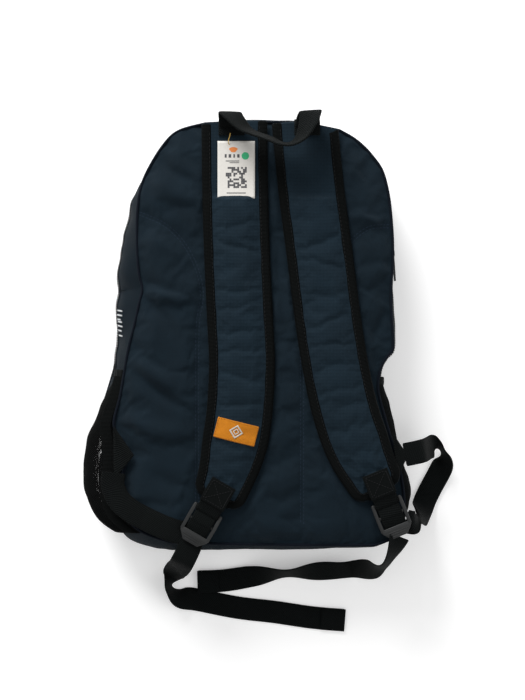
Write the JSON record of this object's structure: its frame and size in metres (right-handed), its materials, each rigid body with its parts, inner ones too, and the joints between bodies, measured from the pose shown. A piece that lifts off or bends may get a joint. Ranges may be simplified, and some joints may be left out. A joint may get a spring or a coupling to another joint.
{
  "type": "solar backpack",
  "caption": "Empty backpack lying on its front, padded shoulder straps and loose webbing up, with a solar panel on the front pocket and a battery pack inside.",
  "frame": {"origin": "centre of the solar panel's outer face, on which the bag rests", "axes": "+Y towards the top of the bag, +X to the right of the back panel, +Z out of the back panel"},
  "size_m": [0.4015, 0.5487, 0.1158],
  "materials": {
    "navy_fabric": "woven polyester, fine basket weave, matt",
    "strap_fabric": "polyester mesh over foam, matt",
    "lining": "thin woven lining",
    "piping": "woven tape over a cord",
    "binding": "ribbed grosgrain tape",
    "webbing": "ribbed polypropylene webbing",
    "mesh": "open knitted mesh",
    "elastic": "gathered elastic tape",
    "zip_tape": "woven zip tape",
    "zip_coil": "nylon coil",
    "slider_metal": "black painted zinc",
    "puller": "moulded soft pull",
    "panel_film": "clear ribbed film",
    "solar_cell": "dark blue silicon with silver lines",
    "backsheet": "white laminate",
    "panel_border": "coated fabric, stitched",
    "black_plastic": "moulded, fine grain",
    "screw_steel": "plated",
    "lead_jacket": "soft jacket",
    "grommet_rubber": "moulded",
    "battery_case": "moulded, fine grain",
    "cell_wrap": "shrink wrap",
    "circuit_board": "green solder mask",
    "socket_metal": "plated",
    "button_plastic": "moulded",
    "buckle_plastic": "moulded acetal, satin",
    "label": "damask woven label",
    "card": "uncoated white card",
    "thread": "waxed cotton thread"
  },
  "bodies": {
    "pack": {"back_panel": "navy_fabric", "gusset": "navy_fabric", "bottom_panel": "navy_fabric", "front_panel": "navy_fabric", "back_piping": "piping", "front_piping": "piping", "main_zip_tape": "zip_tape", "main_zip_coil": "zip_coil", "pocket_front": "navy_fabric", "pocket_gusset": "navy_fabric", "pocket_zip_tape": "zip_tape", "pocket_zip_coil": "zip_coil", "panel_cover": "panel_film", "solar_cells": "solar_cell", "panel_backsheet": "backsheet", "panel_border": "panel_border", "junction_box": "black_plastic", "junction_lid": "black_plastic", "junction_screws": "screw_steel", "panel_lead": "lead_jacket", "lead_plug": "lead_jacket", "lead_loops": "lining", "cable_grommet": "grommet_rubber", "battery_base": "battery_case", "battery_lid": "battery_case", "battery_cells": "cell_wrap", "battery_board": "circuit_board", "usb_sockets": "socket_metal", "battery_sleeve": "lining", "left_mesh_pocket": "mesh", "right_mesh_pocket": "mesh", "left_pocket_hem": "elastic", "right_pocket_hem": "elastic", "strap_tops": "strap_fabric", "top_bindings": "binding", "strap_wedges": "webbing", "lower_webbing": "webbing", "webbing_tails": "webbing", "handle_anchors": "webbing"},
    "left_strap": {"left_pad": "strap_fabric", "left_binding": "binding", "left_web_loop": "webbing", "woven_label": "label"},
    "right_strap": {"right_pad": "strap_fabric", "right_binding": "binding", "right_web_loop": "webbing"},
    "left_lock": {"left_ladder_lock": "buckle_plastic", "left_web_turn": "webbing"},
    "right_lock": {"right_ladder_lock": "buckle_plastic", "right_web_turn": "webbing"},
    "handle": {"grab_handle": "webbing"},
    "tag": {"card_tag": "card", "tag_thread": "thread"},
    "upper_slider_body": {"upper_slider": "slider_metal"},
    "upper_puller_body": {"upper_puller": "puller"},
    "lower_slider_body": {"lower_slider": "slider_metal"},
    "lower_puller_body": {"lower_puller": "puller"},
    "pocket_slider_body": {"pocket_slider": "slider_metal"},
    "pocket_puller_body": {"pocket_puller": "puller"},
    "button": {"power_button": "button_plastic"}
  },
  "joints": [
    {"name": "left_strap_lift", "type": "hinge", "parent": "pack", "child": "left_strap", "pos_m": [-0.031, 0.142, 0.0795], "axis": [-1, 0, 0], "range_deg": [0, 20]},
    {"name": "right_strap_lift", "type": "hinge", "parent": "pack", "child": "right_strap", "pos_m": [0.05, 0.142, 0.0795], "axis": [-1, 0, 0], "range_deg": [0, 20]},
    {"name": "left_lock_tilt", "type": "hinge", "parent": "left_strap", "child": "left_lock", "pos_m": [-0.06, -0.18, 0.0801], "axis": [-0.866, 0.5, 0], "range_deg": [0, 25]},
    {"name": "right_lock_tilt", "type": "hinge", "parent": "right_strap", "child": "right_lock", "pos_m": [0.127, -0.171, 0.0801], "axis": [-0.9272, -0.3746, 0], "range_deg": [0, 25]},
    {"name": "handle_swing", "type": "hinge", "parent": "pack", "child": "handle", "pos_m": [0.0045, 0.222, 0.0828], "axis": [-1, 0, 0], "range_deg": [0, 80]},
    {"name": "tag_swing", "type": "hinge", "parent": "pack", "child": "tag", "pos_m": [-0.03, 0.211, 0.0806], "axis": [-1, 0, 0], "range_deg": [0, 60]},
    {"name": "upper_slider_slide", "type": "slide", "parent": "pack", "child": "upper_slider_body", "axis": [-0.0606, 0.9982, 0], "range_m": [0, 0.025]},
    {"name": "lower_slider_slide", "type": "slide", "parent": "pack", "child": "lower_slider_body", "axis": [0.0606, -0.9982, 0], "range_m": [0, 0.085]},
    {"name": "pocket_slider_slide", "type": "slide", "parent": "pack", "child": "pocket_slider_body", "axis": [1, 0, 0], "range_m": [0, 0.135]},
    {"name": "upper_puller_flip", "type": "hinge", "parent": "upper_slider_body", "child": "upper_puller_body", "pos_m": [0.13723, 0.10928, 0.0325], "axis": [0, 0, -1], "range_deg": [0, 100]},
    {"name": "lower_puller_flip", "type": "hinge", "parent": "lower_slider_body", "child": "lower_puller_body", "pos_m": [0.1382, 0.09331, 0.0325], "axis": [0, 0, 1], "range_deg": [0, 100]},
    {"name": "pocket_puller_flip", "type": "hinge", "parent": "pocket_slider_body", "child": "pocket_puller_body", "pos_m": [-0.071, 0.1564, 0.0115], "axis": [0, 0, 1], "range_deg": [0, 100]},
    {"name": "power_button_press", "type": "slide", "parent": "pack", "child": "button", "axis": [-1, 0, 0], "range_m": [0, 0.0008]}
  ]
}
